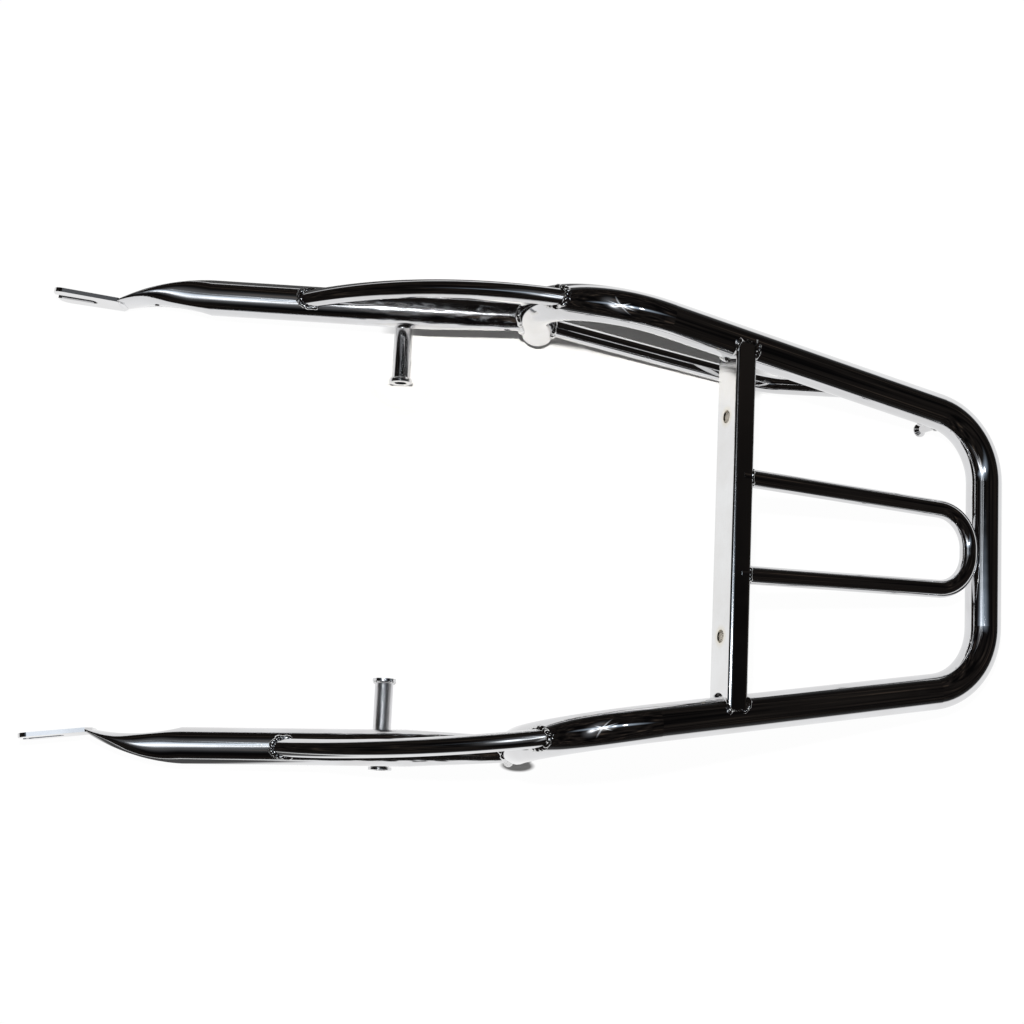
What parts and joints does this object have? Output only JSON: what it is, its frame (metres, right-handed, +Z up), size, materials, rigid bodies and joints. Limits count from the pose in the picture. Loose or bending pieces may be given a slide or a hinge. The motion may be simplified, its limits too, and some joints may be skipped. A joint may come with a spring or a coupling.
{
  "type": "motorcycle luggage rack",
  "caption": "Chromed tubular motorcycle luggage rack: sloping hoop platform with crossbar and inner loop, side rails with slotted tabs, grab rails and braces.",
  "frame": {"origin": "level with the underside of the rear bar, in the middle of the rack's length and on its plane of symmetry", "axes": "+X to the rear of the motorcycle, +Y to its right-hand side, +Z up"},
  "size_m": [0.6842, 0.3464, 0.1401],
  "materials": {
    "chrome": "bright chrome plate over polished steel tube",
    "nut_steel": "plain bright steel with cut thread"
  },
  "bodies": {
    "root": {"main_hoop": "chrome", "right_leg_cap": "chrome", "left_leg_cap": "chrome", "right_side_rail": "chrome", "left_side_rail": "chrome", "right_grab_rail": "chrome", "left_grab_rail": "chrome", "right_brace": "chrome", "left_brace": "chrome", "crossbar": "chrome", "inner_loop": "chrome", "right_mount_bush": "chrome", "left_mount_bush": "chrome", "right_inner_washer": "chrome", "left_inner_washer": "chrome", "right_outer_washer": "chrome", "left_outer_washer": "chrome", "right_luggage_peg": "chrome", "left_luggage_peg": "chrome", "right_weld_nut": "nut_steel", "left_weld_nut": "nut_steel"}
  },
  "joints": []
}
